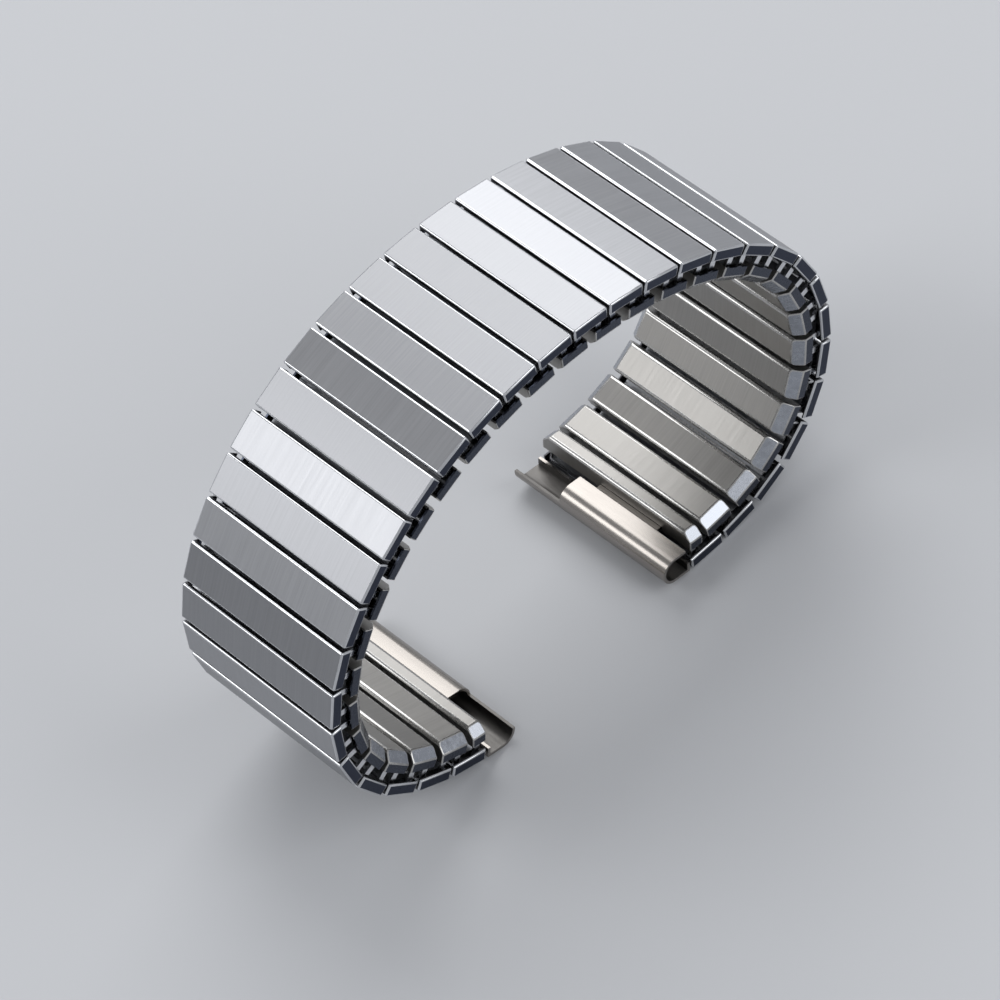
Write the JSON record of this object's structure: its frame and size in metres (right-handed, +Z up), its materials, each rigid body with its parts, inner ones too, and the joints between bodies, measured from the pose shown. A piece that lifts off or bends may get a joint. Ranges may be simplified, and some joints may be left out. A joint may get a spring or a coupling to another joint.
{
  "type": "expansion watch band",
  "caption": "Sprung stainless watch band of two rows of box links tied by U-shaped staples, with a rolled spring-bar channel at each end.",
  "frame": {"origin": "centre of the bounding box on the surface that the curled band stands on", "axes": "+Z up, +Y across the band along its links, +X along the long way of the curl, from the more tightly curled end's side to the other"},
  "size_m": [0.0644, 0.02, 0.043],
  "materials": {
    "outer_brushed": "brushed along the band, with polished bevels",
    "inner_satin": "satin, with polished ends",
    "end_polished": "polished sheet"
  },
  "bodies": {
    "outer_link_01": {"outer_link_01": "outer_brushed"},
    "outer_link_02": {"outer_link_02": "outer_brushed"},
    "outer_link_03": {"outer_link_03": "outer_brushed"},
    "outer_link_04": {"outer_link_04": "outer_brushed"},
    "outer_link_05": {"outer_link_05": "outer_brushed"},
    "outer_link_06": {"outer_link_06": "outer_brushed"},
    "outer_link_07": {"outer_link_07": "outer_brushed"},
    "outer_link_08": {"outer_link_08": "outer_brushed"},
    "outer_link_10": {"outer_link_10": "outer_brushed"},
    "outer_link_12": {"outer_link_12": "outer_brushed"},
    "outer_link_14": {"outer_link_14": "outer_brushed"},
    "outer_link_16": {"outer_link_16": "outer_brushed"},
    "outer_link_17": {"outer_link_17": "outer_brushed"},
    "outer_link_19": {"outer_link_19": "outer_brushed"},
    "outer_link_21": {"outer_link_21": "outer_brushed"},
    "outer_link_23": {"outer_link_23": "outer_brushed"},
    "outer_link_24": {"outer_link_24": "outer_brushed"},
    "outer_link_25": {"outer_link_25": "outer_brushed"},
    "outer_link_26": {"outer_link_26": "outer_brushed"},
    "outer_link_27": {"outer_link_27": "outer_brushed"},
    "outer_link_28": {"outer_link_28": "outer_brushed"},
    "outer_link_29": {"outer_link_29": "outer_brushed"},
    "outer_link_30": {"outer_link_30": "outer_brushed"},
    "outer_link_31": {"outer_link_31": "outer_brushed"},
    "outer_link_32": {"outer_link_32": "outer_brushed"},
    "inner_link_02": {"inner_link_02": "inner_satin"},
    "inner_link_03": {"inner_link_03": "inner_satin"},
    "inner_link_04": {"inner_link_04": "inner_satin"},
    "inner_link_05": {"inner_link_05": "inner_satin"},
    "inner_link_06": {"inner_link_06": "inner_satin"},
    "inner_link_07": {"inner_link_07": "inner_satin"},
    "inner_link_08": {"inner_link_08": "inner_satin"},
    "inner_link_09": {"inner_link_09": "inner_satin"},
    "link_pair_10": {"link_pair_10": "outer_brushed"},
    "inner_link_11": {"inner_link_11": "inner_satin"},
    "link_pair_12": {"link_pair_12": "outer_brushed"},
    "inner_link_13": {"inner_link_13": "inner_satin"},
    "link_pair_14": {"link_pair_14": "outer_brushed"},
    "inner_link_15": {"inner_link_15": "inner_satin"},
    "link_pair_16": {"link_pair_16": "outer_brushed"},
    "inner_link_17": {"inner_link_17": "inner_satin"},
    "link_pair_18": {"link_pair_18": "outer_brushed"},
    "inner_link_19": {"inner_link_19": "inner_satin"},
    "link_pair_20": {"link_pair_20": "outer_brushed"},
    "inner_link_21": {"inner_link_21": "inner_satin"},
    "link_pair_22": {"link_pair_22": "outer_brushed"},
    "inner_link_23": {"inner_link_23": "inner_satin"},
    "inner_link_24": {"inner_link_24": "inner_satin"},
    "inner_link_25": {"inner_link_25": "inner_satin"},
    "inner_link_26": {"inner_link_26": "inner_satin"},
    "inner_link_27": {"inner_link_27": "inner_satin"},
    "inner_link_28": {"inner_link_28": "inner_satin"},
    "inner_link_29": {"inner_link_29": "inner_satin"},
    "inner_link_30": {"inner_link_30": "inner_satin"},
    "inner_link_31": {"inner_link_31": "inner_satin"},
    "inner_link_32": {"inner_link_32": "inner_satin"},
    "end_a": {"end_plate_a": "end_polished", "end_shell_a": "inner_satin"},
    "end_b": {"end_plate_b": "end_polished", "end_shell_b": "inner_satin"}
  },
  "joints": [
    {"name": "stretch_17", "type": "slide", "parent": "outer_link_17", "child": "inner_link_17", "axis": [-0.9888, 0, 0.1495], "range_m": [0, 0.00161], "stiffness_N_per_m": 5000},
    {"name": "flex_17", "type": "hinge", "parent": "inner_link_17", "child": "outer_link_16", "pos_m": [0.00308, 0, 0.04207], "axis": [0, 1, 0], "range_deg": [-1.38, 11.5], "stiffness_Nm_per_rad": 0.215},
    {"name": "stretch_16", "type": "slide", "parent": "outer_link_16", "child": "link_pair_16", "axis": [-0.9985, 0, 0.0541], "range_m": [0, 0.00161], "stiffness_N_per_m": 5000},
    {"name": "stretch_15", "type": "slide", "parent": "link_pair_16", "child": "inner_link_15", "axis": [-0.9987, 0, -0.0506], "range_m": [0, 0.00161], "stiffness_N_per_m": 5000},
    {"name": "flex_15", "type": "hinge", "parent": "inner_link_15", "child": "outer_link_14", "pos_m": [-0.00565, 0, 0.04188], "axis": [0, 1, 0], "range_deg": [-1.59, 13.25], "stiffness_Nm_per_rad": 0.15},
    {"name": "stretch_14", "type": "slide", "parent": "outer_link_14", "child": "link_pair_14", "axis": [-0.9866, 0, -0.1633], "range_m": [0, 0.00161], "stiffness_N_per_m": 5000},
    {"name": "stretch_13", "type": "slide", "parent": "link_pair_14", "child": "inner_link_13", "axis": [-0.9568, 0, -0.2907], "range_m": [0, 0.00161], "stiffness_N_per_m": 5000},
    {"name": "flex_13", "type": "hinge", "parent": "inner_link_13", "child": "outer_link_12", "pos_m": [-0.01413, 0, 0.03965], "axis": [0, 1, 0], "range_deg": [-1.86, 15.5], "stiffness_Nm_per_rad": 0.1},
    {"name": "stretch_12", "type": "slide", "parent": "outer_link_12", "child": "link_pair_12", "axis": [-0.907, 0, -0.421], "range_m": [0, 0.00161], "stiffness_N_per_m": 5000},
    {"name": "stretch_11", "type": "slide", "parent": "link_pair_12", "child": "inner_link_11", "axis": [-0.8443, 0, -0.5358], "range_m": [0, 0.00161], "stiffness_N_per_m": 5000},
    {"name": "flex_11", "type": "hinge", "parent": "inner_link_11", "child": "outer_link_10", "pos_m": [-0.02173, 0, 0.03523], "axis": [0, 1, 0], "range_deg": [-1.86, 15.5], "stiffness_Nm_per_rad": 0.075},
    {"name": "stretch_10", "type": "slide", "parent": "outer_link_10", "child": "link_pair_10", "axis": [-0.7672, 0, -0.6414], "range_m": [0, 0.00161], "stiffness_N_per_m": 5000},
    {"name": "stretch_09", "type": "slide", "parent": "link_pair_10", "child": "inner_link_09", "axis": [-0.6639, 0, -0.7478], "range_m": [0, 0.00161], "stiffness_N_per_m": 5000},
    {"name": "flex_09", "type": "hinge", "parent": "inner_link_09", "child": "outer_link_08", "pos_m": [-0.02783, 0, 0.02887], "axis": [0, 1, 0], "range_deg": [-1.83, 15.25], "stiffness_Nm_per_rad": 0.075},
    {"name": "stretch_08", "type": "slide", "parent": "outer_link_08", "child": "inner_link_08", "axis": [-0.509, 0, -0.8607], "range_m": [0, 0.00161], "stiffness_N_per_m": 5000},
    {"name": "flex_08", "type": "hinge", "parent": "inner_link_08", "child": "outer_link_07", "pos_m": [-0.02992, 0, 0.02493], "axis": [0, 1, 0], "range_deg": [-1.5, 12.5], "stiffness_Nm_per_rad": 0.075},
    {"name": "stretch_07", "type": "slide", "parent": "outer_link_07", "child": "inner_link_07", "axis": [-0.3107, 0, -0.9505], "range_m": [0, 0.00161], "stiffness_N_per_m": 5000},
    {"name": "flex_07", "type": "hinge", "parent": "inner_link_07", "child": "outer_link_06", "pos_m": [-0.03111, 0, 0.02061], "axis": [0, 1, 0], "range_deg": [-1.62, 13.5], "stiffness_Nm_per_rad": 0.075},
    {"name": "stretch_06", "type": "slide", "parent": "outer_link_06", "child": "inner_link_06", "axis": [-0.0802, 0, -0.9968], "range_m": [0, 0.00161], "stiffness_N_per_m": 5000},
    {"name": "flex_06", "type": "hinge", "parent": "inner_link_06", "child": "outer_link_05", "pos_m": [-0.03123, 0, 0.01611], "axis": [0, 1, 0], "range_deg": [-1.8, 15], "stiffness_Nm_per_rad": 0.075},
    {"name": "stretch_05", "type": "slide", "parent": "outer_link_05", "child": "inner_link_05", "axis": [0.1805, 0, -0.9836], "range_m": [0, 0.00161], "stiffness_N_per_m": 5000},
    {"name": "flex_05", "type": "hinge", "parent": "inner_link_05", "child": "outer_link_04", "pos_m": [-0.03014, 0, 0.01172], "axis": [0, 1, 0], "range_deg": [-2.1, 17.5], "stiffness_Nm_per_rad": 0.075},
    {"name": "stretch_04", "type": "slide", "parent": "outer_link_04", "child": "inner_link_04", "axis": [0.4679, 0, -0.8838], "range_m": [0, 0.00161], "stiffness_N_per_m": 5000},
    {"name": "flex_04", "type": "hinge", "parent": "inner_link_04", "child": "outer_link_03", "pos_m": [-0.02779, 0, 0.00784], "axis": [0, 1, 0], "range_deg": [-2.04, 17], "stiffness_Nm_per_rad": 0.075},
    {"name": "stretch_03", "type": "slide", "parent": "outer_link_03", "child": "inner_link_03", "axis": [0.7059, 0, -0.7083], "range_m": [0, 0.00161], "stiffness_N_per_m": 5000},
    {"name": "flex_03", "type": "hinge", "parent": "inner_link_03", "child": "outer_link_02", "pos_m": [-0.02445, 0, 0.00479], "axis": [0, 1, 0], "range_deg": [-1.68, 14], "stiffness_Nm_per_rad": 0.025},
    {"name": "stretch_02", "type": "slide", "parent": "outer_link_02", "child": "inner_link_02", "axis": [0.8563, 0, -0.5165], "range_m": [0, 0.00161], "stiffness_N_per_m": 5000},
    {"name": "flex_02", "type": "hinge", "parent": "inner_link_02", "child": "outer_link_01", "pos_m": [-0.02055, 0, 0.00261], "axis": [0, 1, 0], "range_deg": [-1.2, 10], "stiffness_Nm_per_rad": 0.01},
    {"name": "flex_01", "type": "hinge", "parent": "outer_link_01", "child": "end_a", "pos_m": [-0.01809, 0, 0.00166], "axis": [0, 1, 0], "range_deg": [-0.6, 5], "stiffness_Nm_per_rad": 0.01},
    {"name": "stretch_18", "type": "slide", "parent": "outer_link_17", "child": "link_pair_18", "axis": [0.9888, 0, -0.1495], "range_m": [0, 0.00161], "stiffness_N_per_m": 5000},
    {"name": "stretch_19", "type": "slide", "parent": "link_pair_18", "child": "inner_link_19", "axis": [0.9677, 0, -0.2521], "range_m": [0, 0.00161], "stiffness_N_per_m": 5000},
    {"name": "flex_19", "type": "hinge", "parent": "inner_link_19", "child": "outer_link_19", "pos_m": [0.01339, 0, 0.03993], "axis": [0, -1, 0], "range_deg": [-1.56, 13], "stiffness_Nm_per_rad": 0.135},
    {"name": "stretch_20", "type": "slide", "parent": "outer_link_19", "child": "link_pair_20", "axis": [0.933, 0, -0.36], "range_m": [0, 0.00161], "stiffness_N_per_m": 5000},
    {"name": "stretch_21", "type": "slide", "parent": "link_pair_20", "child": "inner_link_21", "axis": [0.8821, 0, -0.471], "range_m": [0, 0.00161], "stiffness_N_per_m": 5000},
    {"name": "flex_21", "type": "hinge", "parent": "inner_link_21", "child": "outer_link_21", "pos_m": [0.02126, 0, 0.03606], "axis": [0, -1, 0], "range_deg": [-2.04, 17], "stiffness_Nm_per_rad": 0.095},
    {"name": "stretch_22", "type": "slide", "parent": "outer_link_21", "child": "link_pair_22", "axis": [0.8028, 0, -0.5962], "range_m": [0, 0.00161], "stiffness_N_per_m": 5000},
    {"name": "stretch_23", "type": "slide", "parent": "link_pair_22", "child": "inner_link_23", "axis": [0.6871, 0, -0.7266], "range_m": [0, 0.00161], "stiffness_N_per_m": 5000},
    {"name": "flex_23", "type": "hinge", "parent": "inner_link_23", "child": "outer_link_23", "pos_m": [0.02763, 0, 0.02993], "axis": [0, -1, 0], "range_deg": [-2.04, 17], "stiffness_Nm_per_rad": 0.075},
    {"name": "stretch_24", "type": "slide", "parent": "outer_link_23", "child": "inner_link_24", "axis": [0.521, 0, -0.8536], "range_m": [0, 0.00161], "stiffness_N_per_m": 5000},
    {"name": "flex_24", "type": "hinge", "parent": "inner_link_24", "child": "outer_link_24", "pos_m": [0.02979, 0, 0.02601], "axis": [0, -1, 0], "range_deg": [-1.5, 12.5], "stiffness_Nm_per_rad": 0.075},
    {"name": "stretch_25", "type": "slide", "parent": "outer_link_24", "child": "inner_link_25", "axis": [0.3239, 0, -0.9461], "range_m": [0, 0.00161], "stiffness_N_per_m": 5000},
    {"name": "flex_25", "type": "hinge", "parent": "inner_link_25", "child": "outer_link_25", "pos_m": [0.03104, 0, 0.02171], "axis": [0, -1, 0], "range_deg": [-1.56, 13], "stiffness_Nm_per_rad": 0.075},
    {"name": "stretch_26", "type": "slide", "parent": "outer_link_25", "child": "inner_link_26", "axis": [0.1028, 0, -0.9947], "range_m": [0, 0.00161], "stiffness_N_per_m": 5000},
    {"name": "flex_26", "type": "hinge", "parent": "inner_link_26", "child": "outer_link_26", "pos_m": [0.0313, 0, 0.01724], "axis": [0, -1, 0], "range_deg": [-1.56, 13], "stiffness_Nm_per_rad": 0.075},
    {"name": "stretch_27", "type": "slide", "parent": "outer_link_26", "child": "inner_link_27", "axis": [-0.1236, 0, -0.9923], "range_m": [0, 0.00161], "stiffness_N_per_m": 5000},
    {"name": "flex_27", "type": "hinge", "parent": "inner_link_27", "child": "outer_link_27", "pos_m": [0.03053, 0, 0.01282], "axis": [0, -1, 0], "range_deg": [-1.68, 14], "stiffness_Nm_per_rad": 0.075},
    {"name": "stretch_28", "type": "slide", "parent": "outer_link_27", "child": "inner_link_28", "axis": [-0.36, 0, -0.933], "range_m": [0, 0.00161], "stiffness_N_per_m": 5000},
    {"name": "flex_28", "type": "hinge", "parent": "inner_link_28", "child": "outer_link_28", "pos_m": [0.02869, 0, 0.00871], "axis": [0, -1, 0], "range_deg": [-1.8, 15], "stiffness_Nm_per_rad": 0.075},
    {"name": "stretch_29", "type": "slide", "parent": "outer_link_28", "child": "inner_link_29", "axis": [-0.5892, 0, -0.808], "range_m": [0, 0.00161], "stiffness_N_per_m": 5000},
    {"name": "flex_29", "type": "hinge", "parent": "inner_link_29", "child": "outer_link_29", "pos_m": [0.02582, 0, 0.00521], "axis": [0, -1, 0], "range_deg": [-1.92, 16], "stiffness_Nm_per_rad": 0.075},
    {"name": "stretch_30", "type": "slide", "parent": "outer_link_29", "child": "inner_link_30", "axis": [-0.7891, 0, -0.6143], "range_m": [0, 0.00161], "stiffness_N_per_m": 5000},
    {"name": "flex_30", "type": "hinge", "parent": "inner_link_30", "child": "outer_link_30", "pos_m": [0.0221, 0, 0.00264], "axis": [0, -1, 0], "range_deg": [-1.98, 16.5], "stiffness_Nm_per_rad": 0.075},
    {"name": "stretch_31", "type": "slide", "parent": "outer_link_30", "child": "inner_link_31", "axis": [-0.9311, 0, -0.3649], "range_m": [0, 0.00161], "stiffness_N_per_m": 5000},
    {"name": "flex_31", "type": "hinge", "parent": "inner_link_31", "child": "outer_link_31", "pos_m": [0.01781, 0, 0.0012], "axis": [0, -1, 0], "range_deg": [-1.74, 14.5], "stiffness_Nm_per_rad": 0.025},
    {"name": "stretch_32", "type": "slide", "parent": "outer_link_31", "child": "inner_link_32", "axis": [-0.9928, 0, -0.1201], "range_m": [0, 0.00161], "stiffness_N_per_m": 5000},
    {"name": "flex_32", "type": "hinge", "parent": "inner_link_32", "child": "outer_link_32", "pos_m": [0.01336, 0, 0.00081], "axis": [0, -1, 0], "range_deg": [-1.2, 10], "stiffness_Nm_per_rad": 0.01},
    {"name": "flex_33", "type": "hinge", "parent": "outer_link_32", "child": "end_b", "pos_m": [0.01067, 0, 0.00097], "axis": [0, -1, 0], "range_deg": [-0.96, 8], "stiffness_Nm_per_rad": 0.01}
  ],
  "couplings": [
    {"joint": "stretch_16", "follows": "stretch_17", "ratio": 1},
    {"joint": "stretch_15", "follows": "stretch_17", "ratio": 1},
    {"joint": "flex_15", "follows": "flex_17", "ratio": 1.1522},
    {"joint": "stretch_14", "follows": "stretch_17", "ratio": 1},
    {"joint": "stretch_13", "follows": "stretch_17", "ratio": 1},
    {"joint": "flex_13", "follows": "flex_17", "ratio": 1.3478},
    {"joint": "stretch_12", "follows": "stretch_17", "ratio": 1},
    {"joint": "stretch_11", "follows": "stretch_17", "ratio": 1},
    {"joint": "flex_11", "follows": "flex_17", "ratio": 1.3478},
    {"joint": "stretch_10", "follows": "stretch_17", "ratio": 1},
    {"joint": "stretch_09", "follows": "stretch_17", "ratio": 1},
    {"joint": "flex_09", "follows": "flex_17", "ratio": 1.3261},
    {"joint": "stretch_08", "follows": "stretch_17", "ratio": 1},
    {"joint": "flex_08", "follows": "flex_17", "ratio": 1.087},
    {"joint": "stretch_07", "follows": "stretch_17", "ratio": 1},
    {"joint": "flex_07", "follows": "flex_17", "ratio": 1.1739},
    {"joint": "stretch_06", "follows": "stretch_17", "ratio": 1},
    {"joint": "flex_06", "follows": "flex_17", "ratio": 1.3043},
    {"joint": "stretch_05", "follows": "stretch_17", "ratio": 1},
    {"joint": "flex_05", "follows": "flex_17", "ratio": 1.5217},
    {"joint": "stretch_04", "follows": "stretch_17", "ratio": 1},
    {"joint": "flex_04", "follows": "flex_17", "ratio": 1.4783},
    {"joint": "stretch_03", "follows": "stretch_17", "ratio": 1},
    {"joint": "flex_03", "follows": "flex_17", "ratio": 1.2174},
    {"joint": "stretch_02", "follows": "stretch_17", "ratio": 1},
    {"joint": "flex_02", "follows": "flex_17", "ratio": 0.86957},
    {"joint": "flex_01", "follows": "flex_17", "ratio": 0.43478},
    {"joint": "stretch_19", "follows": "stretch_18", "ratio": 1},
    {"joint": "stretch_20", "follows": "stretch_18", "ratio": 1},
    {"joint": "stretch_21", "follows": "stretch_18", "ratio": 1},
    {"joint": "flex_21", "follows": "flex_19", "ratio": 1.3077},
    {"joint": "stretch_22", "follows": "stretch_18", "ratio": 1},
    {"joint": "stretch_23", "follows": "stretch_18", "ratio": 1},
    {"joint": "flex_23", "follows": "flex_19", "ratio": 1.3077},
    {"joint": "stretch_24", "follows": "stretch_18", "ratio": 1},
    {"joint": "flex_24", "follows": "flex_19", "ratio": 0.96154},
    {"joint": "stretch_25", "follows": "stretch_18", "ratio": 1},
    {"joint": "flex_25", "follows": "flex_19", "ratio": 1},
    {"joint": "stretch_26", "follows": "stretch_18", "ratio": 1},
    {"joint": "flex_26", "follows": "flex_19", "ratio": 1},
    {"joint": "stretch_27", "follows": "stretch_18", "ratio": 1},
    {"joint": "flex_27", "follows": "flex_19", "ratio": 1.0769},
    {"joint": "stretch_28", "follows": "stretch_18", "ratio": 1},
    {"joint": "flex_28", "follows": "flex_19", "ratio": 1.1538},
    {"joint": "stretch_29", "follows": "stretch_18", "ratio": 1},
    {"joint": "flex_29", "follows": "flex_19", "ratio": 1.2308},
    {"joint": "stretch_30", "follows": "stretch_18", "ratio": 1},
    {"joint": "flex_30", "follows": "flex_19", "ratio": 1.2692},
    {"joint": "stretch_31", "follows": "stretch_18", "ratio": 1},
    {"joint": "flex_31", "follows": "flex_19", "ratio": 1.1154},
    {"joint": "stretch_32", "follows": "stretch_18", "ratio": 1},
    {"joint": "flex_32", "follows": "flex_19", "ratio": 0.76923},
    {"joint": "flex_33", "follows": "flex_19", "ratio": 0.61538}
  ]
}
